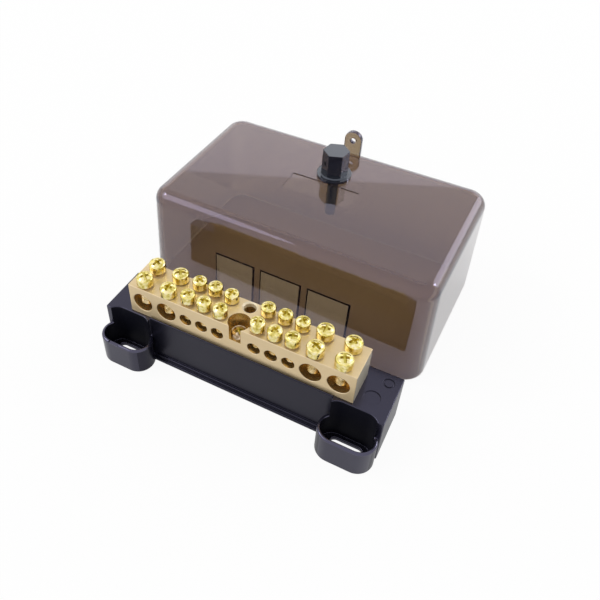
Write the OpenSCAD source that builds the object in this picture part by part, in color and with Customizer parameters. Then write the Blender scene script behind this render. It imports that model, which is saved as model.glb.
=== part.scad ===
/* Neutral link: a drilled and tapped brass bar on a moulded base, with its clear sealed
   cover standing behind it as it does when the wires are being put in.
   Frame: X along the bar, Y from front to back, Z up. The origin lies on the mounting
   surface, midway between the two fixing slots. */

/* [Bar] */
// Length of the brass bar
bar_l = 100; // [96:1:110]
// Depth of the brass bar, front to back
bar_d = 15.8; // [15:0.1:18]
// Height of the brass bar
bar_h = 15; // [13.5:0.1:18]
// Chamfer along the long edges of the bar
bar_edge = 0.2; // [0.1:0.1:0.8]
// How far the middle of the bar lies to the left of the middle of the base
bar_shift = 1.2; // [0:0.1:3]

/* [Conductor tunnels] */
// Small tunnels on each side of the middle
small_count = 3; // [1:1:3]
// Large tunnels on each side of the middle
large_count = 2; // [1:1:2]
// Diameter of a small tunnel
small_tunnel_d = 5.5; // [4.5:0.1:6]
// Diameter of a large tunnel
large_tunnel_d = 9; // [7:0.1:9.6]
// Height of the tunnels' axes above the bar's underside
tunnel_z = 7.4; // [6.5:0.1:8.5]
// Distance of the first tunnel from the middle
first_x = 8.15; // [7.8:0.05:9]
// Distance between small tunnels
small_pitch = 7.35; // [6.8:0.05:8]
// Distance from the last small tunnel to the first large one
step_pitch = 9.25; // [8.8:0.05:10]
// Distance between large tunnels
large_pitch = 11.35; // [10.5:0.05:12]
// Chamfer at the mouths of the tunnels
mouth_edge = 0.2; // [0.1:0.1:0.8]

/* [Terminal screws] */
// Distance of each screw row from the middle of the bar
row_offset = 4.55; // [4:0.05:4.8]
// Thread diameter of a small screw
small_thread_d = 4; // [3:0.1:4.4]
// Thread diameter of a large screw
large_thread_d = 5; // [4:0.1:5.6]
// Head diameter of a small screw
small_head_d = 6.2; // [5.2:0.1:6.6]
// Head diameter of a large screw
large_head_d = 7.1; // [6.2:0.1:8]
// Head height of a small screw
small_head_h = 4.2; // [3.4:0.1:4.8]
// Head height of a large screw
large_head_h = 4.4; // [3.6:0.1:5]
// Mean gap under the head of a small screw
small_lift = 0.9; // [0.7:0.1:1.6]
// Mean gap under the head of a large screw
large_lift = 0.6; // [0.5:0.1:1.2]
// How much the gaps under the heads differ
lift_spread = 0.4; // [0:0.1:0.4]
// How far a small screw's tip hangs below the tunnel's axis
small_reach = 1.2; // [0.2:0.1:1.4]
// How far a large screw's tip hangs below the tunnel's axis
large_reach = 1.8; // [0.5:0.1:2.6]
// Width of the slots in the screw heads
slot_w = 1.2; // [0.6:0.1:1.4]
// Depth of the slots in the screw heads
slot_d = 1.5; // [0.8:0.1:1.7]
// Distance of the slots' ends from the heads' rims
slot_margin = 0.95; // [0.3:0.05:1.1]
// Length of the cross arm of the slots
cross_l = 3.7; // [2.5:0.1:4.4]
// Rise of the domed tops of the screw heads
dome_rise = 1.3; // [0.3:0.1:1.6]
// Chamfer at the screws' tips
tip_edge = 0.6; // [0.2:0.1:1]

/* [Bar fixing] */
// Radius of the round notch at the front of the bar
notch_r = 4.6; // [4:0.1:5]
// Distance of the notch's axis behind the bar's front face
notch_y = 3.8; // [3.5:0.1:4.4]
// Height of the notch's floor above the bar's underside
notch_floor = 7.4; // [5:0.1:9]
// Thread diameter of the fixing screw
fix_thread_d = 4; // [3:0.1:4.6]
// Head diameter of the fixing screw
fix_head_d = 6.8; // [5.6:0.1:7.4]
// Head height of the fixing screw
fix_head_h = 2.8; // [2.2:0.1:3.4]
// Depth that the fixing screw goes into the base
fix_depth = 9; // [6:0.1:12]
// Wall of the boss that takes the fixing screw
boss_wall = 2.4; // [1.6:0.1:3]

/* [Base] */
// Width of the base
base_w = 124.6; // [124.4:0.1:130]
// Depth of the end blocks
block_d = 23.4; // [22.6:0.1:27]
// Height of the base's top face, on which the bar lies
base_h = 23; // [20:0.1:28]
// How far the end blocks stand out in front of the bar
block_front = 3.3; // [2.4:0.1:4]
// How far the middle wall stands out in front of the bar
wall_front = 1.3; // [1.1:0.1:1.8]
// Height of the low rims along the bar
rim_h = 1; // [0.4:0.1:2]
// Length of the low rims along the bar
rim_l = 82.8; // [70:0.1:83.4]
// Gap between the bar and the rims
rim_gap = 0.4; // [0.2:0.1:0.6]
// Height of each step of the foot along the front
foot_step = 1.4; // [0.8:0.1:2]
// Thickness of the base's walls
base_wall = 2.1; // [1.6:0.1:2.6]
// Thickness of the base's top
base_top = 2.6; // [2:0.1:4]
// Thickness of the ribs under the base
rib = 1.6; // [1:0.1:2.4]

/* [Fixing cups] */
// Distance between the two fixing slots
slot_spacing = 100.8; // [98:0.1:100.9]
// How far the fixing slots lie behind the middle of the cups
slot_back = 1.3; // [0:0.1:1.6]
// Length of a fixing cup outside
cup_l = 23.6; // [21:0.1:23.7]
// Radius of a fixing cup's round ends outside
cup_r = 6.9; // [6.4:0.1:7.2]
// Wall of a fixing cup
cup_wall = 1.4; // [1.2:0.1:1.8]
// Distance from a cup's inside to the bar's front face
cup_land = 1; // [0.6:0.1:2]
// Height of a fixing cup
cup_h = 13.5; // [10:0.1:18]
// Thickness of a fixing cup's floor
cup_floor = 2; // [1.5:0.1:4]
// Width of a fixing slot
fix_slot_w = 4.6; // [4:0.1:7]
// Length of a fixing slot
fix_slot_l = 13.4; // [10:0.1:17]

/* [Moulding marks] */
// Radius of the larger round mark on the right end
disc_r = 3.3; // [2:0.1:4]
// Radius of the smaller round mark on the right end
ring_r = 2.3; // [1.5:0.1:3]
// Distance of the larger mark's middle from the right end
disc_inset = 8.2; // [5:0.1:10]
// Distance of the larger mark's middle behind the bar's front face
disc_y = 6.1; // [4:0.1:8]
// Distance of the smaller mark's middle from the right end
ring_inset = 4.8; // [4:0.1:7]
// Distance of the smaller mark's middle behind the bar's front face
ring_y = 15.3; // [13:0.1:16]
// Width of the smaller mark's line
ring_w = 0.6; // [0.3:0.1:1]
// Depth of the round marks
mark_depth = 0.4; // [0.1:0.05:0.6]
// Width of the gate mark in the left cup's rim
gate_w = 5; // [2:0.1:7]
// Depth of the gate mark
gate_depth = 0.5; // [0.2:0.05:0.8]

/* [Cover] */
// Width of the cover at its top
cover_w = 132.7; // [128:0.1:145]
// Depth of the cover at its top
cover_d = 77.5; // [72:0.1:90]
// Height of the cover
cover_h = 51.6; // [48:0.1:60]
// How far each side leans out from top to bottom
cover_flare = 1.65; // [0.5:0.05:2.5]
// Radius of the cover's upright corners at its top
corner_r = 8.5; // [7.5:0.1:12]
// Radius of the rounding round the cover's top
top_r = 6; // [4:0.1:7]
// Wall of the cover
cover_wall = 2; // [1.6:0.1:2.6]
// Place of the cover's middle, to the right of the base's middle
cover_x = -1.7; // [-5:0.1:5]
// Place of the cover's middle, behind the fixing slots
cover_y = 84.3; // [82:0.1:110]
// Turn of the cover where it stands
cover_turn = -1.6; // [-5:0.1:5]

/* [Knock-outs] */
// Width of a knock-out panel
knock_w = 18.4; // [14:0.1:19]
// Distance between knock-out panels
knock_pitch = 22.7; // [21:0.1:24]
// Place of the middle panel, to the right of the cover's middle
knock_x = 1.4; // [-3:0.1:3]
// Height of the knock-out panels
knock_h = 30; // [20:0.1:34]
// How deep the panels are recessed from inside
knock_depth = 1.2; // [0.5:0.1:1.4]
// How far the edges of the recesses slope outwards
knock_slope = 0.8; // [0.2:0.1:1.2]

/* [Label place] */
// Width of the label place
label_w = 32.4; // [24:0.1:40]
// Depth of the label place, front to back
label_d = 13; // [8:0.1:14]
// How deep the label place is sunk in the cover's top
label_depth = 0.35; // [0.1:0.05:0.6]

/* [Sealing lug] */
// Width of the sealing lug
lug_w = 8.5; // [7:0.1:10]
// Thickness of the sealing lug
lug_t = 2.4; // [2:0.1:3.4]
// Height of the sealing lug above the cover's top
lug_h = 11; // [10:0.1:16]
// Distance of the lug's back from the back edge of the cover's top
lug_inset = 1.4; // [1.2:0.1:5]
// Diameter of the hole for the sealing wire in the lug
lug_hole_d = 2.5; // [1.5:0.1:3.5]
// Height of that hole above the cover's top
lug_hole_z = 6.4; // [5:0.1:7]

/* [Sealing screw] */
// Place of the sealing screw, to the right of the cover's middle
seal_x = 0.4; // [-3:0.1:3]
// Distance of the sealing screw behind the cover's middle
seal_y = 14.2; // [13.6:0.1:18]
// Diameter of the sealing screw's shank
seal_d = 5; // [4:0.1:5.4]
// Length of the shank below the cover's top
seal_l = 23.3; // [19:0.1:26]
// Diameter of the flange
flange_d = 15.8; // [13:0.1:18]
// Thickness of the flange
flange_t = 1.3; // [0.8:0.1:2]
// Height of the sloping collar between flange and hexagon
collar = 0.6; // [0.3:0.1:1]
// Width across the flats of the hexagon
hex_af = 10.4; // [8:0.1:12]
// Diameter of the round face on top of the hexagon
hex_face_d = 11.6; // [7:0.1:11.9]
// Height of the head above the cover's top
hex_top = 13; // [9:0.1:14]
// Turn of the hexagon
hex_turn = 21; // [0:1:60]
// Diameter of the hole for the sealing wire through the hexagon
wire_d = 1.8; // [1:0.1:2.4]
// Distance of the sealing screw's hole behind the bar's front face
tap_y = 12.7; // [12:0.1:13]
// Chamfer at the mouth of that hole
tap_edge = 0.5; // [0.1:0.1:0.6]
// Depth of the sealing screw's hole in the bar
tap_depth = 12.8; // [12:0.1:13.2]

/* [Fits] */
// Gap all round between a screw and its tapped hole
thread_gap = 0.05; // [0.03:0.01:0.1]
// Gap all round a screw in a clearance hole
loose_gap = 0.25; // [0.1:0.05:0.4]

/* [Hidden] */
round_fn = 48;
fine_fn = 28;
through = 1;
bar_x = -bar_shift;
bar_front = cup_r - cup_wall + cup_land - slot_back;
bar_mid = bar_front + bar_d / 2;
bar_top = base_h + bar_h;
per_side = small_count + large_count;
screw_count = 2 * per_side;
turn_step = 137.5;
block_x = rim_l / 2;
block_y = bar_front - block_front;
wall_y = bar_front - wall_front;
core_y = wall_y + base_wall;
core_back = block_y + block_d - base_wall;
cup_x = slot_spacing / 2;
cavity_r = cup_r - cup_wall;
lean = atan(cover_flare / cover_h);
hex_r = hex_af / 2 / cos(30);
hole_r = seal_d / 2 + loose_gap;
lug_root = top_r / 2;
plastic = [0.07, 0.08, 0.1];
brass = [0.86, 0.74, 0.5];
zinc = [0.72, 0.63, 0.3];
smoke = [0.45, 0.38, 0.36, 0.5];

// Distance of the tunnel k from the middle, counted from 1 at the middle
function side_x(k) = first_x + min(k - 1, small_count - 1) * small_pitch
    + (k > small_count ? step_pitch + (k - small_count - 1) * large_pitch : 0);
// Place of tunnel i along the bar, counted from 1 at the left
function tunnel_x(i) = i <= per_side ? -side_x(per_side + 1 - i) : side_x(i - per_side);
// Tunnel i belongs to the large ones at the ends of the bar
function is_large(i) = i <= large_count || i > screw_count - large_count;
function tunnel_d(i) = is_large(i) ? large_tunnel_d : small_tunnel_d;
function thread_d(i) = is_large(i) ? large_thread_d : small_thread_d;
function head_d(i) = is_large(i) ? large_head_d : small_head_d;
function head_h(i) = is_large(i) ? large_head_h : small_head_h;
function reach(i) = is_large(i) ? large_reach : small_reach;
// Gap under the head of screw i in row 0 (front) or 1 (back), a little different on each
function lift(row, i) = (is_large(i) ? large_lift : small_lift)
    + lift_spread * sin(turn_step * (i + screw_count * row));
function screw_y(row) = bar_mid + (row == 0 ? -row_offset : row_offset);

// Round-ended outline of a cup or a slot, lying along X
module stadium(length, r) {
    for (side = [-1, 1]) translate([side * (length / 2 - r), 0]) circle(r, $fn = round_fn);
    square([length - 2 * r, 2 * r], center = true);
}

// Screw with a domed head: its head rests on z = 0 and its shank points down
module domed_screw(d, shank, head, head_height, turn) {
    dome_r = (head * head / 4 + dome_rise * dome_rise) / (2 * dome_rise);
    root = (head_height - slot_d) / 2;
    difference() {
        union() {
            intersection() {
                cylinder(d = head, h = head_height, $fn = fine_fn);
                translate([0, 0, head_height - dome_r]) sphere(dome_r, $fn = 4 * fine_fn);
            }
            rotate_extrude($fn = fine_fn) polygon([
                [0, -shank], [d / 2 - tip_edge, -shank], [d / 2, -shank + tip_edge], [d / 2, root], [0, root]
            ]);
        }
        translate([0, 0, head_height - slot_d]) rotate(turn) driver_recess(head);
    }
}

// Slot with a shorter cross arm, as on combination terminal screws
module driver_recess(head) {
    for (size = [[head - 2 * slot_margin, slot_w], [slot_w, cross_l]])
        translate([0, 0, slot_d]) cube([size.x, size.y, 2 * slot_d], center = true);
}

module base() {
    color(plastic) difference() {
        union() {
            base_middle();
            base_ends();
            for (side = [-1, 1])
                translate([side * cup_x, -slot_back]) linear_extrude(cup_h) stadium(cup_l, cup_r);
        }
        for (side = [-1, 1]) translate([side * cup_x, 0]) cup_cavity();
        base_core();
        fixing_pilot();
        moulding_marks();
    }
}

// Middle of the base: stepped foot, front wall, seat and the low rims beside the bar
module base_middle() {
    back = block_y + block_d;
    seat_front = bar_front - rim_gap;
    seat_back = bar_front + bar_d + rim_gap;
    rim_back = seat_back + wall_front - rim_gap;
    foot_y = (wall_y + block_y) / 2;
    translate([-rim_l / 2, 0, 0]) rotate([90, 0, 90]) linear_extrude(rim_l) polygon([
        [block_y, 0], [back, 0], [back, base_h], [rim_back, base_h], [rim_back, base_h + rim_h],
        [seat_back, base_h + rim_h], [seat_back, base_h], [seat_front, base_h],
        [seat_front, base_h + rim_h], [wall_y, base_h + rim_h], [wall_y, 2 * foot_step],
        [foot_y, 2 * foot_step], [foot_y, foot_step], [block_y, foot_step]
    ]);
}

// End blocks, level with the bar's underside
module base_ends() {
    block_l = base_w / 2 - block_x;
    for (side = [-1, 1])
        translate([side * (block_x + block_l / 2), block_y + block_d / 2, base_h / 2])
            cube([block_l, block_d, base_h], center = true);
}

// Space in a cup, open upwards through the end block, and the slot in its floor
module cup_cavity() {
    translate([0, -slot_back, cup_floor]) linear_extrude(base_h) stadium(cup_l - 2 * cup_wall, cavity_r);
    translate([0, 0, -through]) linear_extrude(cup_floor + 2 * through) stadium(fix_slot_l, fix_slot_w / 2);
}

// Hollow under the base, with ribs and the boss left standing
module base_core() {
    half = base_w / 2 - base_wall;
    bays = 4;
    bay = (2 * half - (bays - 1) * rib) / bays;
    difference() {
        for (k = [0:bays - 1])
            translate([-half + k * (bay + rib), core_y, -through])
                cube([bay, core_back - core_y, base_h - base_top + through]);
        translate([bar_x, bar_front + notch_y, -2 * through])
            cylinder(r = fix_thread_d / 2 + boss_wall, h = base_h, $fn = round_fn);
    }
}

// Hole in the boss for the bar's fixing screw
module fixing_pilot() {
    translate([bar_x, bar_front + notch_y, base_h - fix_depth - through])
        cylinder(r = fix_thread_d / 2 + thread_gap, h = fix_depth + 2 * through, $fn = round_fn);
}

// Shallow marks that the mould leaves: two round ones on the right end, one in the left cup's rim
module moulding_marks() {
    translate([-cup_x - gate_w, -slot_back - 2 * cup_r, cup_h - gate_depth])
        cube([gate_w, 2 * cup_r, through]);
    translate([base_w / 2 - disc_inset, bar_front + disc_y, base_h - mark_depth])
        cylinder(r = disc_r, h = through, $fn = round_fn);
    translate([base_w / 2 - ring_inset, bar_front + ring_y, base_h - mark_depth]) difference() {
        cylinder(r = ring_r, h = through, $fn = round_fn);
        translate([0, 0, -through]) cylinder(r = ring_r - ring_w, h = 3 * through, $fn = round_fn);
    }
}

module neutral_bar() {
    color(brass) translate([bar_x, bar_mid, base_h]) difference() {
        bar_stock();
        for (i = [1:screw_count]) translate([tunnel_x(i), 0, tunnel_z]) tunnel(tunnel_d(i));
        for (i = [1:screw_count], side = [-1, 1])
            translate([tunnel_x(i), side * row_offset, tunnel_z])
                cylinder(r = thread_d(i) / 2 + thread_gap, h = bar_h, $fn = fine_fn);
        translate([0, notch_y - bar_d / 2, 0]) bar_notch();
        translate([0, tap_y - bar_d / 2, bar_h]) seal_tap();
    }
}

// Drawn bar with chamfered long edges
module bar_stock() {
    y = bar_d / 2;
    e = bar_edge;
    translate([-bar_l / 2, 0, 0]) rotate([90, 0, 90]) linear_extrude(bar_l) polygon([
        [-y + e, 0], [y - e, 0], [y, e], [y, bar_h - e],
        [y - e, bar_h], [-y + e, bar_h], [-y, bar_h - e], [-y, e]
    ]);
}

// Tunnel from front to back with chamfered mouths
module tunnel(d) {
    rotate([90, 0, 0]) cylinder(d = d, h = bar_d + 2 * through, center = true, $fn = round_fn);
    for (side = [-1, 1]) rotate([side * 90, 0, 0]) translate([0, 0, bar_d / 2 - mouth_edge])
        cylinder(d1 = d, d2 = d + 2 * (mouth_edge + through), h = mouth_edge + through, $fn = round_fn);
}

// Round notch that breaks out of the front face, and the fixing screw's hole in its floor
module bar_notch() {
    translate([0, 0, notch_floor]) cylinder(r = notch_r, h = bar_h, $fn = round_fn);
    translate([0, 0, -through])
        cylinder(r = fix_thread_d / 2 + loose_gap, h = bar_h, $fn = fine_fn);
}

// Tapped hole for the sealing screw, with a countersunk mouth
module seal_tap() {
    tap_r = seal_d / 2 + thread_gap;
    translate([0, 0, -tap_depth]) cylinder(r = tap_r, h = tap_depth + through, $fn = fine_fn);
    translate([0, 0, -tap_edge])
        cylinder(r1 = tap_r, r2 = tap_r + tap_edge + through, h = tap_edge + through, $fn = fine_fn);
}

module terminal_screw(row, i) {
    color(zinc) translate([bar_x + tunnel_x(i), screw_y(row), bar_top + lift(row, i)])
        domed_screw(thread_d(i), lift(row, i) + bar_h - tunnel_z + reach(i), head_d(i), head_h(i),
            turn_step * (i + screw_count * row));
}

module bar_fixing_screw() {
    color(zinc) translate([bar_x, bar_front + notch_y, base_h + notch_floor])
        domed_screw(fix_thread_d, notch_floor + fix_depth, fix_head_d, fix_head_h, turn_step);
}

// Where the cover stands; its children are placed about the middle of its underside
module cover_place() {
    translate([cover_x, cover_y, 0]) rotate(cover_turn) children();
}

// Outline of the cover's side, measured outwards from the axis of its corners
module cover_profile(inset, below) {
    r = corner_r - inset;
    t = top_r - inset;
    h = cover_h - inset;
    slope = cover_flare / (h - t);
    polygon([[0, -below], [r + cover_flare + slope * below, -below], [r, h - t], [0, h - t]]);
    intersection() {
        union() {
            translate([r - t, h - t]) circle(t, $fn = round_fn);
            translate([-t, h - t]) square([r, t]);
        }
        translate([0, h - t - through]) square([r, t + through]);
    }
}

// Section across the whole cover, from one side to the other
module cover_section(half, inset, below) {
    for (side = [0, 1]) mirror([side, 0]) translate([half, 0]) cover_profile(inset, below);
    translate([-half, -below]) square([2 * half, cover_h - inset + below]);
}

// Drafted block with round corners and a rounded top, the form of the cover outside and inside
module cover_form(inset, below) {
    half_x = cover_w / 2 - corner_r;
    half_y = cover_d / 2 - corner_r;
    rotate([90, 0, 0]) linear_extrude(2 * half_y, center = true) cover_section(half_x, inset, below);
    rotate([90, 0, 90]) linear_extrude(2 * half_x, center = true) cover_section(half_y, inset, below);
    for (k = [0:3])
        translate([half_x * sign(cos(45 + 90 * k)), half_y * sign(sin(45 + 90 * k))])
            rotate(90 * k) rotate_extrude(angle = 90, $fn = round_fn) cover_profile(inset, below);
}

module cover() {
    color(smoke) cover_place() difference() {
        union() {
            cover_form(0, 0);
            sealing_lug();
        }
        cover_form(cover_wall, through);
        knock_outs();
        label_place();
        translate([seal_x, seal_y, cover_h / 2]) cylinder(r = hole_r, h = cover_h, $fn = round_fn);
    }
}

// Upright plate with a hole for the sealing wire, at the back edge of the top
module sealing_lug() {
    back = cover_d / 2 - lug_inset;
    translate([0, back, cover_h]) rotate([90, 0, 0]) linear_extrude(lug_t) difference() {
        union() {
            translate([0, lug_h - lug_w / 2]) circle(d = lug_w, $fn = round_fn);
            translate([-lug_w / 2, -lug_root]) square([lug_w, lug_h - lug_w / 2 + lug_root]);
        }
        translate([0, lug_hole_z]) circle(d = lug_hole_d, $fn = fine_fn);
    }
}

// Thin panels in the front wall, recessed from inside and open to the bottom edge
module knock_outs() {
    face = cover_d / 2 + cover_flare - cover_wall;
    for (k = [-1:1]) translate([knock_x + k * knock_pitch, -face, 0]) rotate([-lean, 0, 0]) knock_recess();
}

// One recess: its panel lies knock_depth in front of the wall's inside, and its sides and top slope out
module knock_recess() {
    draft = knock_slope / knock_depth;
    narrow = knock_w / 2;
    wide = narrow + draft * (knock_depth + through);
    past = 2 * through;
    panel = -knock_depth;
    intersection() {
        translate([0, 0, -through]) linear_extrude(knock_h + wide)
            polygon([[-narrow, panel], [narrow, panel], [wide, through], [-wide, through]]);
        rotate([90, 0, 90]) linear_extrude(4 * wide, center = true) polygon([
            [panel - through, -past], [past, -past],
            [past, knock_h + draft * (past + knock_depth)], [panel - through, knock_h - draft * through]
        ]);
    }
}

// Shallow place for a label in the cover's top
module label_place() {
    translate([0, 0, cover_h]) cube([label_w, label_d, 2 * label_depth], center = true);
}

// Hexagon with the chamfer that leaves a round face on top
module seal_hexagon() {
    run = hex_top / tan(30);
    intersection() {
        rotate(hex_turn) cylinder(r = hex_r, h = hex_top, $fn = 6);
        cylinder(r1 = hex_face_d / 2 + run, r2 = hex_face_d / 2, h = hex_top, $fn = round_fn);
    }
}

module sealing_screw() {
    color(plastic) cover_place() translate([seal_x, seal_y, cover_h]) difference() {
        union() {
            translate([0, 0, -seal_l + tip_edge]) cylinder(d = seal_d, h = seal_l - tip_edge, $fn = round_fn);
            translate([0, 0, -seal_l])
                cylinder(d1 = seal_d - 2 * tip_edge, d2 = seal_d, h = tip_edge, $fn = round_fn);
            cylinder(d = flange_d, h = flange_t, $fn = round_fn);
            translate([0, 0, flange_t])
                cylinder(r1 = hex_r + collar, r2 = hex_r + collar / 2, h = collar, $fn = round_fn);
            seal_hexagon();
        }
        translate([0, 0, (hex_top + flange_t) / 2]) rotate([90, 0, hex_turn - 60])
            cylinder(d = wire_d, h = 2 * flange_d, center = true, $fn = fine_fn);
    }
}

base();
neutral_bar();
for (i = [1:screw_count]) {
    terminal_screw(0, i);
    terminal_screw(1, i);
}
bar_fixing_screw();
cover();
sealing_screw();
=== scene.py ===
import math

import bmesh
import bpy
from mathutils import Matrix, Vector


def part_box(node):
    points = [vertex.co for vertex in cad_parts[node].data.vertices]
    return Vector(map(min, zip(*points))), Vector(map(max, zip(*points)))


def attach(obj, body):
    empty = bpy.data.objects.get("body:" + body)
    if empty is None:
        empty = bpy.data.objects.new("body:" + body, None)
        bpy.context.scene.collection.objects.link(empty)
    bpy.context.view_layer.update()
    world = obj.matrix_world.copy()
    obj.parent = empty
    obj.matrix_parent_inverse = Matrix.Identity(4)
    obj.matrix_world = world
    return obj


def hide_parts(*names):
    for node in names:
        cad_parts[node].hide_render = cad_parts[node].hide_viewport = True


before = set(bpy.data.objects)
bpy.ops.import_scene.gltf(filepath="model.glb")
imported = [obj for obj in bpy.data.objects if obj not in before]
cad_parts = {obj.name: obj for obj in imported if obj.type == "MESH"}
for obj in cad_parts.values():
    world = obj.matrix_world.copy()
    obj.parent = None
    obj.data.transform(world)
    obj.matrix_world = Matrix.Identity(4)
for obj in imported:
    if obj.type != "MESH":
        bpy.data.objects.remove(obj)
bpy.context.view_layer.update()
mm = 0.001
print("frame loaded with", len(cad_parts), "nodes")


# one socket of a node tree, so that sums of values are written as sums
class Wire:
    def __init__(self, tree, socket):
        self.tree = tree
        self.socket = socket

    def calc(self, operation, first, second):
        made = self.tree.nodes.new("ShaderNodeMath")
        made.operation = operation
        for slot, value in zip(made.inputs, (first, second)):
            plug(self.tree, slot, value)
        return Wire(self.tree, made.outputs[0])

    def __add__(self, other):
        return self.calc("ADD", self, other)

    def __sub__(self, other):
        return self.calc("SUBTRACT", self, other)

    def __rsub__(self, other):
        return self.calc("SUBTRACT", other, self)

    def __mul__(self, other):
        return self.calc("MULTIPLY", self, other)

    def __truediv__(self, other):
        return self.calc("DIVIDE", self, other)

    __radd__ = __add__
    __rmul__ = __mul__


# a wire is linked, anything else is set; a colour gets its alpha here
def plug(tree, slot, value):
    if isinstance(value, Wire):
        tree.links.new(value.socket, slot)
    elif slot.type == "RGBA":
        slot.default_value = (*value[:3], 1.0)
    else:
        slot.default_value = value


# places of the Mix node's sockets when it mixes colours
colourMix = {"factor": 0, "first": 6, "second": 7, "result": 2}
noiseMean = 0.5


# a shader, world or geometry tree with one way of making nodes
class Nodes:
    def __init__(self, tree):
        self.tree = tree
        self.tree.nodes.clear()

    def make(self, kind, settings=None, sockets=None, out=0):
        made = self.tree.nodes.new(kind)
        for key, value in (settings or {}).items():
            if key == "stops":
                setStops(made.color_ramp, value)
            else:
                setattr(made, key, value)
        for key, value in (sockets or {}).items():
            plug(self.tree, made.inputs[key], value)
        return Wire(self.tree, made.outputs[out]) if made.outputs else made

    def blend(self, factor, first, second):
        ends = {colourMix["factor"]: factor, colourMix["first"]: first, colourMix["second"]: second}
        return self.make("ShaderNodeMix", {"data_type": "RGBA"}, ends, colourMix["result"])

    def mixShaders(self, factor, first, second):
        return self.make("ShaderNodeMixShader", None, {0: factor, 1: first, 2: second})

    def place(self, scale=(1, 1, 1)):
        spot = self.make("ShaderNodeTexCoord", out="Object")
        return self.make("ShaderNodeMapping", None, {"Vector": spot, "Scale": scale})

    def noise(self, where, scale, detail=3.0):
        return self.make("ShaderNodeTexNoise", None, {"Vector": where, "Scale": scale, "Detail": detail})

    def bump(self, height, strength, distance):
        return self.make("ShaderNodeBump", None, {
            "Height": height,
            "Strength": strength,
            "Distance": distance,
        })


def setStops(ramp, stops):
    while len(ramp.elements) < len(stops):
        ramp.elements.new(0.5)  # gets its own place below
    for element, (where, colour) in zip(ramp.elements, stops):
        element.position = where
        element.color = (*colour[:3], 1.0)


def newFinish(name):
    finish = bpy.data.materials.new(name)
    finish.use_nodes = True
    return finish, Nodes(finish.node_tree)


def endFinish(nodes, shader):
    nodes.make("ShaderNodeOutputMaterial", None, {"Surface": shader})


# satin moulded plastic of the base; in every look, bend is the refractive index and mirror tints reflections
blackPlasticLook = {
    "dark": (0.004, 0.004, 0.007),
    "light": (0.007, 0.007, 0.012),
    "cloudScale": 60.0,
    "grainScale": 2400.0,
    "grainDetail": 2.0,
    "roughness": 0.20,
    "roughnessSpread": 0.10,
    "bend": 1.68,
    "mirror": (0.70, 0.67, 1.0),
    "gloss": 0.0,
    "grainStrength": 0.12,
    "grainHeight": 0.00006,
}
# the front of the middle wall and the ends reflect less: painted shade
wallShadePlasticLook = dict(blackPlasticLook, roughness=0.30, bend=1.40, mirror=(0.68, 0.64, 1.0))
# the insides of the cups reflect far less: painted shade in the hollows
cupShadePlasticLook = dict(blackPlasticLook, roughness=0.45, bend=1.15, mirror=(0.80, 0.84, 1.0))
# the rims of the cups reflect more: a painted highlight
rimHighlightPlasticLook = dict(blackPlasticLook, roughness=0.18, bend=2.05)
# the sealing screw is moulded shinier than the base
sealPlasticLook = dict(blackPlasticLook, roughness=0.13, bend=1.78, mirror=(0.70, 0.80, 1.0), gloss=0.45)


def makeBlackPlastic(name, look):
    finish, nodes = newFinish(name)
    cloud = nodes.noise(nodes.place(), look["cloudScale"])
    grain = nodes.noise(nodes.place(), look["grainScale"], look["grainDetail"])
    endFinish(nodes, nodes.make("ShaderNodeBsdfPrincipled", None, {
        "Base Color": nodes.blend(cloud, look["dark"], look["light"]),
        "Roughness": look["roughness"] + look["roughnessSpread"] * (cloud - noiseMean),
        "IOR": look["bend"],
        "Specular Tint": look["mirror"],
        "Coat Weight": look["gloss"],
        "Normal": nodes.bump(grain, look["grainStrength"], look["grainHeight"]),
    }))
    return finish


# pale drawn brass with fine lines along the bar
drawnBrassLook = {
    "deep": (0.67, 0.51, 0.285),
    "pale": (0.82, 0.655, 0.405),
    "metal": 0.55,
    "lineScale": (18.0, 900.0, 900.0),
    "lineDetail": 4.0,
    "lineShare": 0.5,  # the rest of the colour's drift is clouds
    "cloudScale": 45.0,
    "cloudDetail": 4.0,
    "roughness": 0.33,
    "roughnessSpread": 0.16,
    "lineStrength": 0.10,
    "lineHeight": 0.00005,
}
# the bored tunnels and holes, with tool marks round them; their paler, more golden colour is painted light
# on the bore walls
boredLitBrassLook = dict(
    drawnBrassLook,
    deep=(0.68, 0.44, 0.13),
    pale=(0.92, 0.70, 0.32),
    metal=0.9,
    lineScale=(500.0, 900.0, 500.0),
    roughness=0.24,
)
# the milled notch, deeper in colour than the tunnels; the deeper colour is painted shade in the notch
milledShadeBrassLook = dict(
    drawnBrassLook,
    deep=(0.56, 0.39, 0.13),
    pale=(0.78, 0.58, 0.25),
    metal=0.80,
    lineScale=(700.0, 700.0, 120.0),
    roughness=0.26,
)
# the tapped hole for the sealing screw, pale as a painted highlight on its inner wall
tappedHighlightBrassLook = dict(
    drawnBrassLook,
    deep=(0.80, 0.68, 0.48),
    pale=(0.95, 0.86, 0.68),
    metal=0.3,
    lineScale=(120.0, 120.0, 1400.0),
    roughness=0.40,
)
# the broken long edges, dull, with a pale colour that is a painted highlight along them
edgeHighlightBrassLook = dict(
    drawnBrassLook,
    deep=(0.68, 0.54, 0.34),
    pale=(0.82, 0.67, 0.45),
    metal=0.5,
    roughness=0.45,
)
# the sawn ends, duller, with a darker and greyer colour that is painted shade
sawnShadeBrassLook = dict(
    drawnBrassLook,
    deep=(0.36, 0.33, 0.27),
    pale=(0.56, 0.51, 0.40),
    metal=0.6,
    lineScale=(300.0, 120.0, 1500.0),
    roughness=0.48,
    lineStrength=0.35,
)


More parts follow.
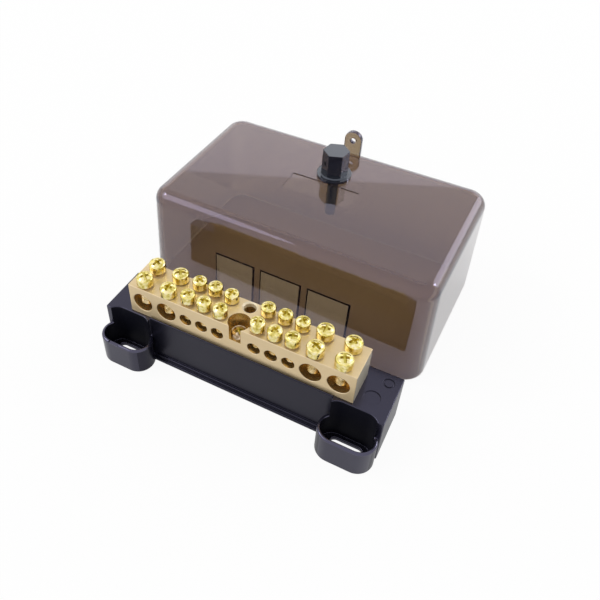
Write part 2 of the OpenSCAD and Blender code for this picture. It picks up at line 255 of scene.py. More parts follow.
def makeBarBrass(name, look):
    finish, nodes = newFinish(name)
    lines = nodes.noise(nodes.place(look["lineScale"]), 1.0, look["lineDetail"])
    cloud = nodes.noise(nodes.place(), look["cloudScale"], look["cloudDetail"])
    drift = lines * look["lineShare"] + cloud * (1 - look["lineShare"])
    endFinish(nodes, nodes.make("ShaderNodeBsdfPrincipled", None, {
        "Base Color": nodes.blend(drift, look["deep"], look["pale"]),
        "Metallic": look["metal"],
        "Roughness": look["roughness"] + look["roughnessSpread"] * (lines - noiseMean),
        "Normal": nodes.bump(lines, look["lineStrength"], look["lineHeight"]),
    }))
    return finish


# yellow passivated zinc of the screws, drifting between green gold and rose gold
screwZincLook = {
    "stops": [
        (0.34, (0.50, 0.40, 0.08)),
        (0.46, (0.78, 0.66, 0.22)),
        (0.58, (0.90, 0.80, 0.42)),
        (0.70, (0.95, 0.85, 0.58)),
    ],
    "driftScale": 560.0,
    "dentScale": 700.0,
    "dentDetail": 1.0,
    "dentShare": 0.8,  # the rest of the relief is specks
    "speckScale": 2200.0,
    "speckDetail": 2.0,
    "roughness": 0.15,
    "roughnessSpread": 0.14,
    "dentStrength": 0.5,
    "dentHeight": 0.00016,
}
# the same plating down in the driver recesses, dull and olive, darker as painted shade in the recesses
recessShadeZincLook = dict(
    screwZincLook,
    stops=[(0.34, (0.52, 0.44, 0.08)), (0.50, (0.70, 0.60, 0.16)), (0.70, (0.80, 0.68, 0.28))],
    roughness=0.34,
)
# the plating on the shanks is thinner and shows as tan
shankZincLook = dict(
    screwZincLook,
    stops=[(0.34, (0.50, 0.36, 0.14)), (0.50, (0.76, 0.60, 0.32)), (0.70, (0.88, 0.74, 0.50))],
    roughness=0.26,
)
# the bar's fixing screw is plated a dull rose, darkened as painted shade down in the notch
fixingShadeZincLook = dict(
    screwZincLook,
    stops=[(0.34, (0.20, 0.13, 0.07)), (0.50, (0.44, 0.32, 0.20)), (0.66, (0.72, 0.58, 0.43))],
)


def makeScrewZinc(name, look):
    finish, nodes = newFinish(name)
    drift = nodes.noise(nodes.place(), look["driftScale"])
    speck = nodes.noise(nodes.place(), look["speckScale"], look["speckDetail"])
    dent = nodes.noise(nodes.place(), look["dentScale"], look["dentDetail"])
    relief = dent * look["dentShare"] + speck * (1 - look["dentShare"])
    endFinish(nodes, nodes.make("ShaderNodeBsdfPrincipled", None, {
        "Base Color": nodes.make("ShaderNodeValToRGB", {"stops": look["stops"]}, {"Fac": drift}),
        "Metallic": 1.0,
        "Roughness": look["roughness"] + look["roughnessSpread"] * (speck - noiseMean),
        "Normal": nodes.bump(relief, look["dentStrength"], look["dentHeight"]),
    }))
    return finish


# smoke-brown clear plastic: the smoke is in its thickness, so thin panels look paler
smokeClearLook = {
    "glass": (0.97, 0.97, 0.97),
    "mirror": (0.55, 0.50, 1.0),
    "gloss": 0.70,
    "smoke": (0.489, 0.350, 0.165),
    "smokeDensity": 810.0,
    "cloudScale": 25.0,
    "cloudDetail": 2.0,
    "roughness": 0.015,
    "roughnessSpread": 0.02,
    "bend": 1.68,
    "lampShare": (0.88, 0.88, 0.88),  # what a wall lets through of the lamps
}


def makeSmokeClear(name, look):
    finish, nodes = newFinish(name)
    cloud = nodes.noise(nodes.place(), look["cloudScale"], look["cloudDetail"])
    clear = nodes.make("ShaderNodeBsdfPrincipled", None, {
        "Base Color": look["glass"],
        "Roughness": look["roughness"] + look["roughnessSpread"] * cloud,
        "IOR": look["bend"],
        "Specular Tint": look["mirror"],
        "Transmission Weight": 1.0,
        "Coat Weight": look["gloss"],
    })
    shade = nodes.make("ShaderNodeBsdfTransparent", None, {"Color": look["lampShare"]})
    shadowRay = nodes.make("ShaderNodeLightPath", out="Is Shadow Ray")
    surface = nodes.mixShaders(shadowRay, clear, shade)
    smoke = nodes.make("ShaderNodeVolumeAbsorption", None, {
        "Color": look["smoke"],
        "Density": look["smokeDensity"],
    })
    nodes.make("ShaderNodeOutputMaterial", None, {"Surface": surface, "Volume": smoke})
    return finish


blackPlastic = makeBlackPlastic("blackPlastic", blackPlasticLook)
wallShadePlastic = makeBlackPlastic("wallShadePlastic", wallShadePlasticLook)
cupShadePlastic = makeBlackPlastic("cupShadePlastic", cupShadePlasticLook)
rimHighlightPlastic = makeBlackPlastic("rimHighlightPlastic", rimHighlightPlasticLook)
sealPlastic = makeBlackPlastic("sealPlastic", sealPlasticLook)
drawnBrass = makeBarBrass("drawnBrass", drawnBrassLook)
boredLitBrass = makeBarBrass("boredLitBrass", boredLitBrassLook)
milledShadeBrass = makeBarBrass("milledShadeBrass", milledShadeBrassLook)
tappedHighlightBrass = makeBarBrass("tappedHighlightBrass", tappedHighlightBrassLook)
edgeHighlightBrass = makeBarBrass("edgeHighlightBrass", edgeHighlightBrassLook)
sawnShadeBrass = makeBarBrass("sawnShadeBrass", sawnShadeBrassLook)
screwZinc = makeScrewZinc("screwZinc", screwZincLook)
recessShadeZinc = makeScrewZinc("recessShadeZinc", recessShadeZincLook)
shankZinc = makeScrewZinc("shankZinc", shankZincLook)
fixingShadeZinc = makeScrewZinc("fixingShadeZinc", fixingShadeZincLook)
smokeClear = makeSmokeClear("smokeClear", smokeClearLook)
print("finishes made")


def addObject(name, mesh):
    thing = bpy.data.objects.new(name, mesh)
    bpy.context.scene.collection.objects.link(thing)
    return thing


def meshFrom(shape, name):
    bmesh.ops.recalc_face_normals(shape, faces=shape.faces)
    mesh = bpy.data.meshes.new(name)
    shape.to_mesh(mesh)
    shape.free()
    return mesh


# bakes an object's modifiers into a plain mesh and takes them off
def settle(thing):
    bpy.context.view_layer.update()
    graph = bpy.context.evaluated_depsgraph_get()
    mesh = bpy.data.meshes.new_from_object(thing.evaluated_get(graph), depsgraph=graph)
    mesh.name = thing.name
    thing.modifiers.clear()
    thing.data = mesh
    return thing


def drop(*things):
    for thing in things:
        bpy.data.objects.remove(thing, do_unlink=True)


# flat faces stay flat and round ones smooth
def smoothShade(thing, sharpAngle):
    thing.data.polygons.foreach_set("use_smooth", [True] * len(thing.data.polygons))
    thing.data.set_sharp_from_angle(angle=math.radians(sharpAngle))
    even = thing.modifiers.new("evenNormals", "WEIGHTED_NORMAL")
    even.keep_sharp = True
    return settle(thing)


def cut(thing, operation, *tools):
    for tool in tools:
        step = thing.modifiers.new("cut", "BOOLEAN")
        step.operation = operation
        step.solver = "EXACT"
        step.object = tool
        settle(thing)
    drop(*tools)
    return thing


# rounds the edges sharper than an angle; share gives each one its part of the width
def roundEdges(thing, width, segments, angle, share=None):
    shape = bmesh.new()
    shape.from_mesh(thing.data)
    weight = shape.edges.layers.float.new("bevel_weight_edge")
    for edge in shape.edges:
        sharp = edge.is_manifold and edge.calc_face_angle() > math.radians(angle)
        edge[weight] = (share(edge) if share else 1.0) if sharp else 0.0
    shape.to_mesh(thing.data)
    shape.free()
    bevel = thing.modifiers.new("edge", "BEVEL")
    bevel.limit_method = "WEIGHT"
    bevel.width = width
    bevel.segments = segments
    bevel.miter_outer = "MITER_ARC"
    bevel.use_clamp_overlap = share is None
    return settle(thing)


# a CAD node's mesh with its loose triangles joined into clean faces; flat is in degrees
def cleanCopy(node, name, merge=0.002 * mm, flat=0.4):
    shape = bmesh.new()
    shape.from_mesh(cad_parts[node].data)
    bmesh.ops.remove_doubles(shape, verts=shape.verts, dist=merge)
    bmesh.ops.dissolve_limit(shape, angle_limit=math.radians(flat), verts=shape.verts, edges=shape.edges)
    mesh = bpy.data.meshes.new(name)
    shape.to_mesh(mesh)
    shape.free()
    stale = mesh.attributes.get("custom_normal")
    if stale:
        mesh.attributes.remove(stale)
    return addObject(name, mesh)


def box(name, low, high):
    shape = bmesh.new()
    bmesh.ops.create_cube(shape, size=1.0)
    stretch = Matrix.Diagonal((*(Vector(high) - Vector(low)), 1))
    middle = Matrix.Translation((Vector(high) + Vector(low)) / 2)
    bmesh.ops.transform(shape, matrix=middle @ stretch, verts=shape.verts)
    return addObject(name, meshFrom(shape, name))


def rod(name, radius, low, high, sides=64):
    shape = bmesh.new()
    ends = {"radius1": radius, "radius2": radius}
    bmesh.ops.create_cone(shape, cap_ends=True, segments=sides, depth=high - low, **ends)
    bmesh.ops.translate(shape, vec=(0, 0, (low + high) / 2), verts=shape.verts)
    return addObject(name, meshFrom(shape, name))


# turns a profile of (radius, height) points from the axis back to the axis
def lathe(name, profile, sides):
    shape = bmesh.new()
    rings = []
    for radius, height in profile:
        count = 1 if radius == 0 else sides
        turn = 2 * math.pi / sides
        rings.append([
            shape.verts.new((radius * math.cos(k * turn), radius * math.sin(k * turn), height))
            for k in range(count)
        ])
    for upper, lower in zip(rings, rings[1:]):
        for k in range(sides):
            corners = [upper[k % len(upper)], upper[(k + 1) % len(upper)]]
            corners += [lower[(k + 1) % len(lower)], lower[k % len(lower)]]
            shape.faces.new(list(dict.fromkeys(corners)))
    return addObject(name, meshFrom(shape, name))


def arc(centre, radius, first, last, steps):
    angles = [math.radians(first + (last - first) * k / steps) for k in range(steps + 1)]
    return [(centre[0] + radius * math.cos(a), centre[1] + radius * math.sin(a)) for a in angles]


# one finish all over, or None where the faces have finishes of their own
def wear(thing, finish, body, node):
    if finish:
        thing.data.materials.clear()
        thing.data.materials.append(finish)
    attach(thing, body)
    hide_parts(node)


# gives each face the finish that pick chooses from its middle and its normal
def paintFaces(thing, finishes, pick):
    for finish in finishes:
        thing.data.materials.append(finish)
    for face in thing.data.polygons:
        face.material_index = finishes.index(pick(face.center, face.normal))


# base moulding: the solid's own form with softly rounded edges
basePiece = {
    "edge": 0.8 * mm,  # widest rounding; the shares below are parts of it
    "rimShare": 1.0,
    "outerShare": 0.5,
    "innerShare": 0.18,
    "markShare": 0.1,
    "marks": (  # boxes round the mould marks, whose edges stay crisp
        (Vector((50.5, 7.5, 22.0)) * mm, Vector((60.2, 23.2, 23.1)) * mm),
        (Vector((-55.6, -8.4, 12.8)) * mm, Vector((-50.2, -6.0, 13.6)) * mm),
    ),
    "merge": 0.08 * mm,
    "steps": 3,
    "edgeAngle": 40.0,
    "shadeAngle": 35.0,
    "cupMiddle": (50.4 * mm, -1.3 * mm),  # right cup; the left one mirrors it
    "cupStraight": 4.9 * mm,
    "cupRadius": 5.7 * mm,
    "cupRim": 6.3 * mm,
    "cupOutside": 7.0 * mm,
    "cupTop": 13.5 * mm,
    "cupReach": 0.05 * mm,
    "cupFloor": 2.5 * mm,
    "rimTilt": 0.2,  # tilts are parts of a normal along its axis
    "wallFront": 6.0 * mm,
    "wallHalf": 41.5 * mm,
    "wallTilt": 0.5,
    "endTilt": 0.9,
}


# distance from the middle line of the nearer cup
def fromCup(spot, piece):
    across = max(abs(abs(spot.x) - piece["cupMiddle"][0]) - piece["cupStraight"], 0.0)
    return math.hypot(across, spot.y - piece["cupMiddle"][1])


def inCup(spot, piece):
    return fromCup(spot, piece) < piece["cupRadius"] and spot.z > piece["cupFloor"] / 2


def onRim(spot, piece):
    return fromCup(spot, piece) > piece["cupRim"] and abs(spot.z - piece["cupTop"]) < piece["cupReach"]


def makeBase(piece):
    def share(edge):
        for low, high in piece["marks"]:
            if all(low[k] < corner.co[k] < high[k] for corner in edge.verts for k in range(3)):
                return piece["markShare"]
        if all(onRim(corner.co, piece) for corner in edge.verts):
            return piece["rimShare"]
        return piece["outerShare"] if edge.is_convex else piece["innerShare"]

    # the cup rims take the painted highlight; the cup hollows, the front of the wall and the ends take
    # painted shade
    def pick(spot, away):
        nearTop = abs(spot.z - piece["cupTop"]) < piece["edge"]
        nearRim = nearTop and fromCup(spot, piece) < piece["cupOutside"]
        if nearRim and away.z > piece["rimTilt"]:
            return rimHighlightPlastic
        if inCup(spot, piece) and away.z < piece["rimTilt"]:
            return cupShadePlastic
        alongWall = abs(spot.x) < piece["wallHalf"] and spot.y < piece["wallFront"]
        if alongWall and away.y < -piece["wallTilt"] or abs(away.x) > piece["endTilt"]:
            return wallShadePlastic
        return blackPlastic

    base = cleanCopy("base", "baseMoulding", piece["merge"])
    roundEdges(base, piece["edge"], piece["steps"], piece["edgeAngle"], share)
    smoothShade(base, piece["shadeAngle"])
    paintFaces(base, [blackPlastic, wallShadePlastic, cupShadePlastic, rimHighlightPlastic], pick)
    wear(base, None, "carrier", "base")


# brass bar: the solid's own form with broken edges at its sawn ends, and a finish for each kind of face,
# several carrying painted light and shade
barPiece = {
    "edge": 0.3 * mm,
    "steps": 2,
    "shadeAngle": 30.0,
    "flat": 0.999,  # part of a normal along X, on the sawn ends
    "slanted": 0.5,  # least part of a normal along both Y and Z, on the broken edges
    "reach": 0.02 * mm,
    "notchHalf": 5.0 * mm,
    "sinkRadius": 3.3 * mm,
    "sinkBore": 2.58 * mm,
    "sinkDepth": 2.4 * mm,
    "sinkFront": 12.7 * mm,  # from the bar's front to the tapped hole
    "sinkSides": 40,
}


def makeBar(piece):
    bar = cleanCopy("neutral_bar", "brassBar")
    low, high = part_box("neutral_bar")
    middle = (low.x + high.x) / 2
    top, deep, wide, bore = high.z, piece["sinkDepth"], piece["sinkRadius"], piece["sinkBore"]
    sink = lathe("sinkTool", [
        (0, top + deep),
        (wide + deep, top + deep),
        (bore, top + bore - wide),
        (bore, top - deep),
        (0, top - deep),
    ], piece["sinkSides"])
    tap = Vector((middle, low.y + piece["sinkFront"]))
    sink.data.transform(Matrix.Translation((tap.x, tap.y, 0)))
    cut(bar, "DIFFERENCE", sink)

    def share(edge):
        return 1.0 if any(abs(face.normal.x) > piece["flat"] for face in edge.link_faces) else 0.0

    # the bores and the tapped hole take painted light, the notch and the sawn ends painted shade, the broken
    # edges a painted highlight
    def pick(spot, away):
        fromEnd = min(spot.x - low.x, high.x - spot.x)
        inward = min(spot.y - low.y, high.y - spot.y, spot.z - low.z, high.z - spot.z)
        if abs(away.x) > piece["flat"] and fromEnd < piece["reach"]:
            return sawnShadeBrass
        if (spot.xy - tap).length < wide and top - deep < spot.z < top - piece["reach"]:
            return tappedHighlightBrass
        if abs(spot.x - middle) < piece["notchHalf"] and inward > piece["reach"]:
            return milledShadeBrass
        if inward > piece["edge"] + piece["reach"]:
            return boredLitBrass
        return edgeHighlightBrass if min(abs(away.y), abs(away.z)) > piece["slanted"] else drawnBrass

    roundEdges(bar, piece["edge"], piece["steps"], piece["shadeAngle"], share)
    smoothShade(bar, piece["shadeAngle"])
    paintFaces(bar, [drawnBrass, boredLitBrass, sawnShadeBrass, milledShadeBrass, tappedHighlightBrass, edgeHighlightBrass], pick)
    wear(bar, None, "carrier", "neutral_bar")


makeBase(basePiece)
makeBar(barPiece)
print("base and bar dressed")


# screws by size, with the head and the thread of each
screwSizes = {
    "small": {"headRadius": 3.1 * mm, "headHeight": 4.2 * mm, "threadRadius": 2.0 * mm, "pitch": 0.7 * mm},
    "large": {"headRadius": 3.55 * mm, "headHeight": 4.4 * mm, "threadRadius": 2.5 * mm, "pitch": 0.8 * mm},
    "fixing": {"headRadius": 3.4 * mm, "headHeight": 2.8 * mm, "threadRadius": 2.0 * mm, "pitch": 0.7 * mm},
}
# domed heads with a slot and a shorter cross arm
headDetail = {
    "rise": 1.3 * mm,
    "rimRound": 0.7 * mm,
    "footRound": 0.2 * mm,
    "slotWidth": 1.2 * mm,
    "slotDepth": 1.5 * mm,
    "slotMargin": 0.95 * mm,
    "crossLength": 3.7 * mm,
    "recessTaper": 0.55,  # the recess's floor against its mouth
    "recessLip": 0.14 * mm,
    "recessSlack": 0.175 * mm,
    "softEdge": 0.09 * mm,
    "softSteps": 2,
    "edgeAngle": 45.0,
    "shadeAngle": 40.0,
    "sides": 56,
    "domeSteps": 6,
    "rimSteps": 5,
    "footSteps": 2,
}


def makeHead(shape, detail):
    radius, height = shape["headRadius"], shape["headHeight"]
    soft, foot = detail["rimRound"], detail["footRound"]
    inner = radius - soft
    ball = (radius ** 2 + detail["rise"] ** 2) / (2 * detail["rise"])
    steps = detail["domeSteps"]

    def domeHeight(reach):
        return height - ball + math.sqrt(ball ** 2 - reach ** 2)

    lean = math.asin(inner / ball)
    dome = [(inner * k / steps, domeHeight(inner * k / steps)) for k in range(steps + 1)]
    hub = (inner - soft * math.sin(lean), domeHeight(inner) - soft * math.cos(lean))
    rim = arc(hub, radius - hub[0], 90 - math.degrees(lean), 0, detail["rimSteps"])[1:]
    under = arc((radius - foot, foot), foot, 0, -90, detail["footSteps"])
    head = lathe("headPattern", dome + rim + under + [(0, 0)], detail["sides"])
    half = radius - detail["slotMargin"]
    wide, arm = detail["slotWidth"] / 2, detail["crossLength"] / 2
    low = height - detail["slotDepth"]
    tools = [
        box("slotTool", (-half, -wide, low), (half, wide, height)),
        box("crossTool", (-wide, -arm, low), (wide, arm, height)),
    ]
    for tool in tools:
        for corner in tool.data.vertices:
            if corner.co.z < (low + height) / 2:
                corner.co.xy *= detail["recessTaper"]
    cut(head, "DIFFERENCE", *tools)
    roundEdges(head, detail["softEdge"], detail["softSteps"], detail["edgeAngle"])
    smoothShade(head, detail["shadeAngle"])
    # faces down in the recess are flagged for the darker finish that paints their shade
    deep = []
    for face in head.data.polygons:
        reach = face.center.xy.length
        lip = domeHeight(min(reach, inner)) - detail["recessLip"]
        deep.append(low - detail["recessSlack"] < face.center.z < lip and reach < half)
    mesh = head.data
    mesh.attributes.new("recess", "BOOLEAN", "FACE").data.foreach_set("value", deep)
    drop(head)
    return mesh


threadDetail = {
    "depth": 0.16 * mm,
    "tip": 0.45 * mm,
    "tipSlope": 0.7,
    "sides": 40,
    "turnSteps": 28,
    "ridgeSides": 4,
}


def joinParts(tree, *parts):
    joined = tree.nodes.new("GeometryNodeJoinGeometry")
    for part in parts:
        tree.links.new(part.socket, joined.inputs[0])
    return Wire(tree, joined.outputs[0])


# geometry tree that gives a head its threaded shank and sets it in place
def makeThreadTree(detail):
    tree = bpy.data.node_groups.new("threadedShank", "GeometryNodeTree")
    for name, kind in (
        ("Head", "NodeSocketGeometry"),
        ("Thread Radius", "NodeSocketFloat"),
        ("Thread Depth", "NodeSocketFloat"),
        ("Pitch", "NodeSocketFloat"),
        ("Shank Length", "NodeSocketFloat"),
        ("Tip Length", "NodeSocketFloat"),
        ("Turn", "NodeSocketRotation"),
        ("Place", "NodeSocketVector"),
        ("Finish", "NodeSocketMaterial"),
        ("Recess Shade Finish", "NodeSocketMaterial"),
        ("Shank Finish", "NodeSocketMaterial"),
    ):
        tree.interface.new_socket(name=name, in_out="INPUT", socket_type=kind)
    tree.interface.new_socket(name="Screw", in_out="OUTPUT", socket_type="NodeSocketGeometry")
    nodes = Nodes(tree)
    given = tree.nodes.new("NodeGroupInput")
    value = {socket.name: Wire(tree, socket) for socket in given.outputs}

    def moved(part, height):
        way = nodes.make("ShaderNodeCombineXYZ", None, {"Z": height})
        return nodes.make("GeometryNodeTransform", None, {"Geometry": part, "Translation": way})

    def finished(part, finish):
        return nodes.make("GeometryNodeSetMaterial", None, {"Geometry": part, "Material": finish})

    core = value["Thread Radius"] - value["Thread Depth"]
    straight = value["Shank Length"] - value["Tip Length"]
    below = 0 - straight
    helix = nodes.make("GeometryNodeCurveSpiral", None, {
        "Resolution": detail["turnSteps"],
        "Rotations": straight / value["Pitch"],
        "Start Radius": core,
        "End Radius": core,
        "Height": straight,
    })
    ridge = nodes.make("GeometryNodeCurvePrimitiveCircle", None, {
        "Resolution": detail["ridgeSides"],
        "Radius": value["Thread Depth"],
    })
    thread = nodes.make("GeometryNodeCurveToMesh", None, {
        "Curve": helix,
        "Profile Curve": ridge,
        "Fill Caps": True,
    })
    stem = nodes.make("GeometryNodeMeshCylinder", None, {
        "Vertices": detail["sides"],
        "Radius": core,
        "Depth": straight,
    })
    tip = nodes.make("GeometryNodeMeshCone", None, {
        "Vertices": detail["sides"],
        "Radius Top": core,
        "Radius Bottom": core - value["Tip Length"] * detail["tipSlope"],
        "Depth": value["Tip Length"],
    })
    shank = joinParts(
        tree,
        moved(thread, below),
        moved(stem, below * 0.5),  # a cylinder is made about its middle
        moved(tip, 0 - value["Shank Length"]),
    )
    head = finished(value["Head"], value["Finish"])
    placed = nodes.make("GeometryNodeTransform", None, {
        "Geometry": joinParts(tree, head, finished(shank, value["Shank Finish"])),
        "Rotation": value["Turn"],
        "Translation": value["Place"],
    })
    real = nodes.make("GeometryNodeRealizeInstances", None, {"Geometry": placed})
    # the recess faces take the darker finish: painted shade
    deep = nodes.make("GeometryNodeInputNamedAttribute", {"data_type": "BOOLEAN"}, {"Name": "recess"})
    done = nodes.make("GeometryNodeSetMaterial", None, {
        "Geometry": real,
        "Selection": deep,
        "Material": value["Recess Shade Finish"],
    })
    nodes.make("NodeGroupOutput", None, {"Screw": done})
    return tree


def runTree(thing, tree, values):
    step = thing.modifiers.new("tree", "NODES")
    step.node_group = tree
    for item in tree.interface.items_tree:
        if item.in_out == "INPUT" and item.name in values:
            step[item.identifier] = values[item.name]
    return settle(thing)


headMeshes = {size: makeHead(shape, headDetail) for size, shape in screwSizes.items()}
threadTree = makeThreadTree(threadDetail)


# the head's own top stands at the top of the solid that it replaces
def setScrew(node, size, turn, body, finish):
    low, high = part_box(node)
    head, shape = headMeshes[size], screwSizes[size]
    foot = high.z - max(corner.co.z for corner in head.vertices)
    screw = addObject(node + "_dressed", head.copy())
    runTree(screw, threadTree, {
        "Thread Radius": shape["threadRadius"],
        "Thread Depth": threadDetail["depth"],
        "Pitch": shape["pitch"],
        "Shank Length": foot - low.z,
        "Tip Length": threadDetail["tip"],
        "Turn": (0.0, 0.0, math.radians(turn)),
        "Place": ((low.x + high.x) / 2, (low.y + high.y) / 2, foot),
        "Finish": finish,
        "Recess Shade Finish": recessShadeZinc,
        "Shank Finish": shankZinc,
    })
    wear(screw, None, body, node)


# terminal screws in two rows, numbered from the left; the two at each end are large
terminalScrews = {
    "count": 10,
    "largeEachEnd": 2,
    "turnStep": 137.5,  # degrees from one screw's slot to the next
}


def setTerminals(piece):
    count, ends = piece["count"], piece["largeEachEnd"]
    for row, side in enumerate(("front", "back")):
        for k in range(1, count + 1):
            node = f"{side}_screw_{k}"
            size = "large" if k <= ends or k > count - ends else "small"
            setScrew(node, size, piece["turnStep"] * (k + count * row), node, screwZinc)


setTerminals(terminalScrews)
setScrew("bar_fixing_screw", "fixing", terminalScrews["turnStep"], "carrier", fixingShadeZinc)
print("screws set")


# sealing screw: the solid's own form with moulded edges
sealPiece = {
    "edge": 0.22 * mm,
    "steps": 3,
    "edgeAngle": 25.0,
    "shadeAngle": 40.0,
}


def makeSealingScrew(piece):
    seal = cleanCopy("sealing_screw", "sealingScrewMoulding")
    roundEdges(seal, piece["edge"], piece["steps"], piece["edgeAngle"])
    smoothShade(seal, piece["shadeAngle"])
    wear(seal, sealPlastic, "sealing_screw", "sealing_screw")


makeSealingScrew(sealPiece)
print("sealing screw dressed")


# clear cover, measured about the middle of its underside
coverShape = {
    "width": 132.7 * mm,
    "depth": 77.5 * mm,
    "height": 51.6 * mm,
    "flare": 1.65 * mm,
    "corner": 8.5 * mm,
    "topRound": 6.0 * mm,
    "wall": 2.0 * mm,
    "rimRound": 0.4 * mm,
    "cornerSteps": 14,
    "roundSteps": 12,
    "wallSteps": 4,
    "shadeAngle": 30.0,
    "place": (-1.7 * mm, 84.3 * mm, 0.0),
    "turn": -1.6,
    "below": 1.0 * mm,  # how far the cutting shapes reach under the rim
}
coverDetail = {
    "knockCount": 3,
    "knockWidth": 18.4 * mm,
    "knockPitch": 22.7 * mm,
    "knockX": 1.4 * mm,
    "knockHeight": 30.0 * mm,
    "knockDepth": 1.2 * mm,
    "knockSlope": 0.8 * mm,
    "knockTopSlope": 0.36 * mm,
    "labelWidth": 32.4 * mm,
    "labelDepth": 13.0 * mm,
    "labelSunk": 0.35 * mm,
    "sealX": 0.4 * mm,
    "sealY": 14.2 * mm,
    "sealHole": 2.75 * mm,
    "lugWidth": 8.5 * mm,
    "lugThick": 2.4 * mm,
    "lugHeight": 11.0 * mm,
    "lugInset": 1.4 * mm,
    "lugRoot": 3.0 * mm,
    "lugHole": 1.25 * mm,
    "lugHoleZ": 6.4 * mm,
    "lugHoleSides": 32,
    "lugSteps": 24,
    "lugEdge": 0.5 * mm,
    "lugEdgeSteps": 3,
    "lugEdgeAngle": 50.0,
}


def roundedLoop(axisX, axisY, radius, steps):
    points = []
    for k, (signX, signY) in enumerate(((1, 1), (-1, 1), (-1, -1), (1, -1))):
        points += arc((signX * axisX, signY * axisY), radius, 90 * k, 90 * k + 90, steps)
    return points


# drafted block with round corners and a rounded top; the hollow is inset and reaches below the rim
def coverBlock(name, shape, inset, below):
    axisX = shape["width"] / 2 - shape["corner"]
    axisY = shape["depth"] / 2 - shape["corner"]
    radius = shape["corner"] - inset
    fillet = shape["topRound"] - inset
    side = shape["height"] - inset - fillet
    slope = shape["flare"] / side
    foot, soft, steps = radius + shape["flare"], shape["rimRound"], shape["wallSteps"]
    if below:
        levels = [(foot + slope * below, -below)]
    else:
        levels = [(foot - soft, 0.0), (foot - slope * soft, soft)]
    levels += [(radius + shape["flare"] * (1 - k / steps), side * k / steps) for k in range(1, steps)]
    levels += arc((radius - fillet, side), fillet, 0, 90, shape["roundSteps"])
    form = bmesh.new()
    rings = [
        [form.verts.new((x, y, z)) for x, y in roundedLoop(axisX, axisY, reach, shape["cornerSteps"])]
        for reach, z in levels
    ]
    for lower, upper in zip(rings, rings[1:]):
        total = len(lower)
        for k in range(total):
            form.faces.new((lower[k], lower[(k + 1) % total], upper[(k + 1) % total], upper[k]))
    form.faces.new(rings[-1])
    form.faces.new(reversed(rings[0]))
    return addObject(name, meshFrom(form, name))


def makeLug(shape, detail):
    half = detail["lugWidth"] / 2
    root = -detail["lugRoot"]
    rise = detail["lugHeight"] - half
    outline = [(-half, root), (half, root)] + arc((0, rise), half, 0, 180, detail["lugSteps"])
    back = shape["depth"] / 2 - detail["lugInset"]
    form = bmesh.new()
    front = [form.verts.new((x, back - detail["lugThick"], shape["height"] + z)) for x, z in outline]
    rear = [form.verts.new((x, back, shape["height"] + z)) for x, z in outline]
    total = len(outline)
    form.faces.new(front)
    form.faces.new(reversed(rear))
    for k in range(total):
        form.faces.new((front[k], rear[k], rear[(k + 1) % total], front[(k + 1) % total]))
    lug = addObject("lugPlate", meshFrom(form, "lugPlate"))
    hole = rod("lugTool", detail["lugHole"], -back, back, detail["lugHoleSides"])
    level = Matrix.Rotation(math.pi / 2, 4, "X")
    hole.data.transform(Matrix.Translation((0, back, shape["height"] + detail["lugHoleZ"])) @ level)
    cut(lug, "DIFFERENCE", hole)
    return roundEdges(lug, detail["lugEdge"], detail["lugEdgeSteps"], detail["lugEdgeAngle"])


# blocks that thin the front wall from inside, with sides that slope out towards the hollow
def knockTools(shape, detail):
    face = shape["depth"] / 2 + shape["flare"] - shape["wall"]
    lean = Matrix.Rotation(-math.atan(shape["flare"] / shape["height"]), 4, "X")
    half, deep = detail["knockWidth"] / 2, detail["knockDepth"]
    tools = []
    for k in range(detail["knockCount"]):
        tool = box("knockTool", (-half, -deep, -shape["below"]), (half, 0, detail["knockHeight"]))
        for corner in tool.data.vertices:
            if corner.co.y > -deep / 2:
                corner.co.x += math.copysign(detail["knockSlope"], corner.co.x)
                corner.co.z += detail["knockTopSlope"] if corner.co.z > 0 else 0.0
        across = detail["knockX"] + (k - (detail["knockCount"] - 1) / 2) * detail["knockPitch"]
        tool.data.transform(Matrix.Translation((across, -face, 0)) @ lean)
        tools.append(tool)
    return tools


def makeCover(shape, detail):
    cover = coverBlock("coverMoulding", shape, 0.0, 0.0)
    cut(cover, "UNION", makeLug(shape, detail))
    cut(cover, "DIFFERENCE", coverBlock("coverHollow", shape, shape["wall"], shape["below"]))
    cut(cover, "DIFFERENCE", *knockTools(shape, detail))
    x, y, top = detail["labelWidth"] / 2, detail["labelDepth"] / 2, shape["height"]
    label = box("labelTool", (-x, -y, top - detail["labelSunk"]), (x, y, top + detail["labelSunk"]))
    hole = rod("holeTool", detail["sealHole"], top / 2, top * 2)
    hole.data.transform(Matrix.Translation((detail["sealX"], detail["sealY"], 0)))
    cut(cover, "DIFFERENCE", label, hole)
    turn = Matrix.Rotation(math.radians(shape["turn"]), 4, "Z")
    cover.data.transform(Matrix.Translation(shape["place"]) @ turn)
    smoothShade(cover, shape["shadeAngle"])
    wear(cover, smokeClear, "carrier", "cover")


makeCover(coverShape, coverDetail)
print("cover made")


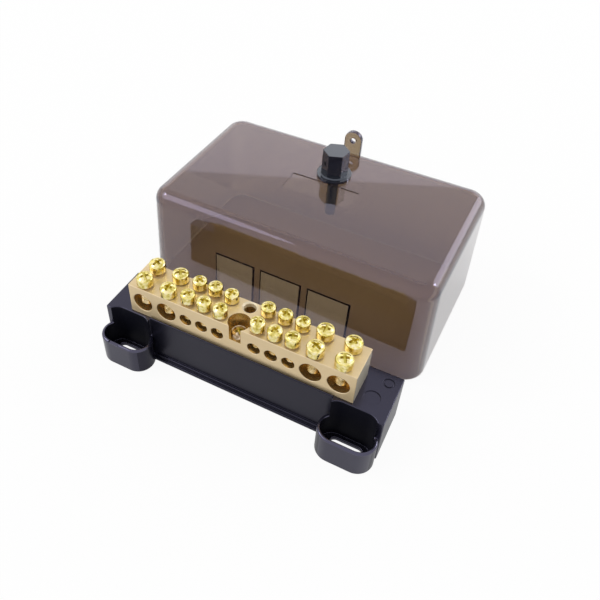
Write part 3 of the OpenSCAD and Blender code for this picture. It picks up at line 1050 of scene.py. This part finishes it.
# pale floor, white surroundings and soft lamps; places in metres, powers in watts
studio = {
    "floorSize": 6.0,
    "floorColour": (0.90, 0.90, 0.90),
    "cameraWhite": 0.93,  # how far the floor goes to white for the eye
    "mirrorWhite": 0.40,  # and in mirrors
    "worldLight": 0.70,
    "lamps": {
        "keyLamp": {"place": (-0.96, -0.57, 1.08), "size": (1.2, 1.0), "power": 4.7, "shape": "ELLIPSE"},
        "rightLamp": {"place": (0.80, 1.02, 0.60), "size": (0.9, 0.8), "power": 2.9, "shape": "ELLIPSE"},
        "backLamp": {"place": (-0.60, 1.50, 0.60), "size": (3.0, 0.9), "power": 4.2, "shape": "RECTANGLE"},
        # the two small ones give the cover's corners their glints
        "leftSpark": {"place": (-0.98, -0.19, 1.09), "size": (0.3, 0.3), "power": 1.8, "shape": "ELLIPSE"},
        "rightSpark": {"place": (0.90, 0.85, 0.85), "size": (0.3, 0.3), "power": 1.8, "shape": "ELLIPSE"},
    },
    "aim": (0.0, 0.05, 0.02),
}


# whether a ray comes from the eye, from a mirror or through something clear
def seenRays(nodes):
    names = ("Is Camera Ray", "Is Glossy Ray", "Is Transmission Ray")
    return [nodes.make("ShaderNodeLightPath", out=name) for name in names]


# the floor goes to white without losing the shadow on it
def makeFloor(piece):
    form = bmesh.new()
    bmesh.ops.create_grid(form, x_segments=1, y_segments=1, size=piece["floorSize"] / 2)
    floor = addObject("floor", meshFrom(form, "floor"))
    finish, nodes = newFinish("floorPaper")
    eye, mirror, through = seenRays(nodes)
    paper = nodes.make("ShaderNodeBsdfDiffuse", None, {"Color": piece["floorColour"]})
    white = nodes.make("ShaderNodeEmission", None, {"Strength": 1.0})
    share = eye * piece["cameraWhite"] + mirror * (1 - through) * piece["mirrorWhite"]
    endFinish(nodes, nodes.mixShaders(share, paper, white))
    floor.data.materials.append(finish)


# the surroundings are white where they are seen and dimmer where they only light
def makeWorld(piece):
    world = bpy.data.worlds.new("studioWorld")
    world.use_nodes = True
    bpy.context.scene.world = world
    nodes = Nodes(world.node_tree)
    eye, mirror, through = seenRays(nodes)
    unseen = (1 - eye) * (1 - mirror) * (1 - through)
    strength = 1 - unseen * (1 - piece["worldLight"])
    sky = nodes.make("ShaderNodeBackground", None, {"Color": (1, 1, 1), "Strength": strength})
    nodes.make("ShaderNodeOutputWorld", None, {"Surface": sky})


def makeLamps(piece):
    aim = Vector(piece["aim"])
    for name, lamp in piece["lamps"].items():
        light = bpy.data.lights.new(name, "AREA")
        light.shape = lamp["shape"]
        light.size, light.size_y = lamp["size"]
        light.energy = lamp["power"]
        holder = addObject(name, light)
        holder.location = lamp["place"]
        holder.rotation_euler = (aim - holder.location).to_track_quat("-Z", "Y").to_euler()


# camera where the photograph was taken; angles in radians, pixels of its 600 by 600 frame
photoCamera = {
    "place": (81.958 * mm, -140.253 * mm, 226.963 * mm),
    "azimuth": 0.505,
    "elevation": 0.752,
    "roll": -0.004,
    "focalPixels": 657.9,
    "axisPixel": (240.57, 266.62),
    "framePixels": 600.0,
    "sensorWidth": 36.0,
    "clipStart": 0.01,
}


def makeCamera(piece):
    az, el, roll = piece["azimuth"], piece["elevation"], piece["roll"]
    ahead = Vector((-math.sin(az) * math.cos(el), math.cos(az) * math.cos(el), -math.sin(el)))
    right = ahead.cross(Vector((0, 0, 1))).normalized()
    up = right.cross(ahead)
    across = math.cos(roll) * right + math.sin(roll) * up
    over = math.cos(roll) * up - math.sin(roll) * right
    lens = bpy.data.cameras.new("photoCamera")
    lens.sensor_width = piece["sensorWidth"]
    lens.lens = piece["sensorWidth"] * piece["focalPixels"] / piece["framePixels"]
    half = piece["framePixels"] / 2
    lens.shift_x = (half - piece["axisPixel"][0]) / piece["framePixels"]
    lens.shift_y = (piece["axisPixel"][1] - half) / piece["framePixels"]
    lens.clip_start = piece["clipStart"]
    camera = addObject("photoCamera", lens)
    turn = Matrix((across, over, -ahead)).transposed().to_4x4()
    camera.matrix_world = Matrix.Translation(piece["place"]) @ turn
    bpy.context.scene.camera = camera


makeFloor(studio)
makeWorld(studio)
makeLamps(studio)
makeCamera(photoCamera)
bpy.context.scene.view_settings.view_transform = "Standard"
print("studio set")
